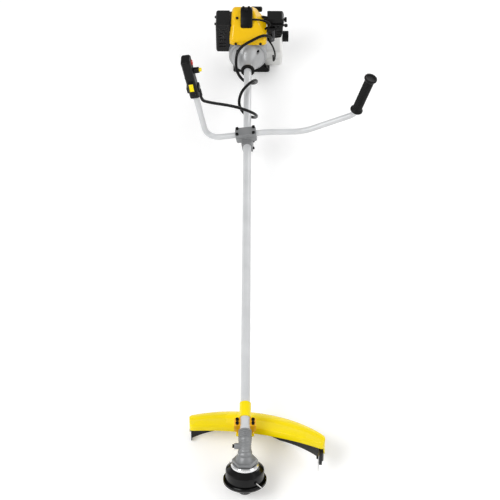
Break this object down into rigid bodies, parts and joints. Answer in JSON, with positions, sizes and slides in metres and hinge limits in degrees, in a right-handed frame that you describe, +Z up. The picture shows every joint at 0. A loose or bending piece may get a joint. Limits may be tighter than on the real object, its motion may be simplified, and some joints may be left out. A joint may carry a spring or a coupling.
{
  "type": "string trimmer",
  "caption": "Petrol string trimmer with a long straight shaft, bull-horn handlebar, guarded bump-feed line head and a two-stroke engine at the rear.",
  "frame": {"origin": "point of the engine stand's flat base below the shaft axis, midway along the stand, on the floor", "axes": "+Z up, +Y along the shaft from the cutting head to the engine, +X to the right when looking along +Y"},
  "size_m": [0.6038, 1.8648, 0.4807],
  "materials": {
    "tube_silver": "silver powder coat, satin",
    "cast_alloy": "cast alloy, sand blasted",
    "bell_silver": "cast alloy, shot blasted, light silver",
    "bright_steel": "turned and polished",
    "steel": "ground steel",
    "black_steel": "black oxide",
    "guard_yellow": "moulded, satin gloss",
    "engine_yellow": "moulded, gloss",
    "black_plastic": "moulded, fine grain",
    "skirt_black": "moulded, fine grain",
    "rubber_black": "soft rubber",
    "red_plastic": "moulded, gloss",
    "tank_white": "translucent blow-moulded",
    "line_nylon": "nylon",
    "rope_cord": "braided"
  },
  "bodies": {
    "frame": {"shaft_tube": "tube_silver", "shaft_bushes": "black_plastic", "tube_sleeve": "guard_yellow", "gearbox_case": "cast_alloy", "shaft_bearings": "steel", "tube_bolts": "black_steel", "guard_canopy": "guard_yellow", "guard_bracket": "engine_yellow", "guard_skirt": "skirt_black", "line_cutter": "steel", "handlebar": "tube_silver", "handle_clamp_base": "cast_alloy", "handle_clamp_cap": "cast_alloy", "hand_grip": "rubber_black", "throttle_housing_left": "black_plastic", "throttle_housing_right": "black_plastic", "housing_screws": "black_steel", "control_cable": "rubber_black", "clutch_housing": "bell_silver", "engine_screws": "black_steel", "damper_ring": "rubber_black", "fan_housing": "bell_silver", "crankcase": "cast_alloy", "cylinder": "cast_alloy", "engine_shroud": "engine_yellow", "plug_cover": "black_plastic", "spark_plug": "steel", "plug_lead": "rubber_black", "muffler": "steel", "muffler_guard": "black_steel", "carburettor": "cast_alloy", "air_filter_case": "black_plastic", "air_filter_cover": "black_plastic", "fuel_tank": "tank_white", "fuel_hose": "rubber_black", "engine_stand": "black_plastic", "starter_housing": "black_plastic"},
    "drive": {"drive_shaft": "steel", "pinion_gear": "steel", "clutch_drum": "steel"},
    "head": {"output_shaft": "steel", "driven_gear": "steel", "head_flange": "bright_steel", "head_body": "black_plastic", "head_cover": "black_plastic", "trimmer_line": "line_nylon"},
    "knob": {"bump_knob": "black_plastic"},
    "crank": {"crankshaft": "steel", "flywheel": "cast_alloy", "clutch_shoes": "steel"},
    "piston": {"piston": "cast_alloy"},
    "trigger": {"throttle_trigger": "guard_yellow"},
    "lockout": {"lockout_lever": "black_plastic"},
    "lock_button": {"throttle_lock_button": "guard_yellow"},
    "switch": {"stop_switch": "red_plastic"},
    "choke": {"choke_lever": "black_plastic"},
    "cap": {"fuel_cap": "black_plastic"},
    "pull": {"starter_handle": "black_plastic", "starter_rope": "rope_cord"},
    "pulley": {"starter_pulley": "black_plastic"}
  },
  "joints": [
    {"name": "drive_spin", "type": "hinge", "parent": "frame", "child": "drive", "pos_m": [0, -0.9, 0.134], "axis": [0, 1, 0], "continuous": true},
    {"name": "head_spin", "type": "hinge", "parent": "frame", "child": "head", "pos_m": [0, -1.681, 0.134], "axis": [0, 0.5, 0.866], "continuous": true},
    {"name": "knob_bump", "type": "slide", "parent": "head", "child": "knob", "axis": [0, 0.5, 0.866], "range_m": [0, 0.006], "stiffness_N_per_m": 1200, "springref_m": -0.004},
    {"name": "crank_spin", "type": "hinge", "parent": "frame", "child": "crank", "pos_m": [0, -0.063, 0.134], "axis": [0, 1, 0], "continuous": true},
    {"name": "piston_stroke", "type": "slide", "parent": "frame", "child": "piston", "axis": [0, 0, 1], "range_m": [0, 0.032]},
    {"name": "throttle_press", "type": "hinge", "parent": "frame", "child": "trigger", "pos_m": [-0.17437, -0.5745, 0.39718], "axis": [0.9868, 0, 0.162], "range_deg": [0, 11], "stiffness_Nm_per_rad": 0.6, "springref_deg": -11.46},
    {"name": "lockout_press", "type": "hinge", "parent": "frame", "child": "lockout", "pos_m": [-0.17923, -0.544, 0.42679], "axis": [-0.9868, 0, -0.162], "range_deg": [0, 7], "stiffness_Nm_per_rad": 0.5, "springref_deg": -11.46},
    {"name": "lock_push", "type": "slide", "parent": "frame", "child": "lock_button", "axis": [-0.9868, 0, -0.162], "range_m": [0, 0.004], "stiffness_N_per_m": 400, "springref_m": -0.002},
    {"name": "stop_slide", "type": "slide", "parent": "frame", "child": "switch", "axis": [0.162, 0, -0.9868], "range_m": [0, 0.007]},
    {"name": "choke_turn", "type": "hinge", "parent": "frame", "child": "choke", "pos_m": [0.083, -0.068, 0.216], "axis": [0, -1, 0], "range_deg": [0, 60]},
    {"name": "cap_turn", "type": "hinge", "parent": "frame", "child": "cap", "pos_m": [0.134, 0.062, 0.058], "axis": [1, 0, 0], "range_deg": [0, 330]},
    {"name": "starter_pull", "type": "slide", "parent": "frame", "child": "pull", "axis": [0, 0, 1], "range_m": [0, 0.6], "stiffness_N_per_m": 12, "springref_m": -0.3, "deforming": ["starter_rope"]},
    {"name": "pulley_spin", "type": "hinge", "parent": "frame", "child": "pulley", "pos_m": [0, 0.004, 0.134], "axis": [0, -1, 0], "range_deg": [0, 1200]}
  ],
  "couplings": [
    {"joint": "head_spin", "follows": "drive_spin", "ratio": 0.8125},
    {"joint": "pulley_spin", "follows": "starter_pull", "rad_per_m": 33.333}
  ]
}
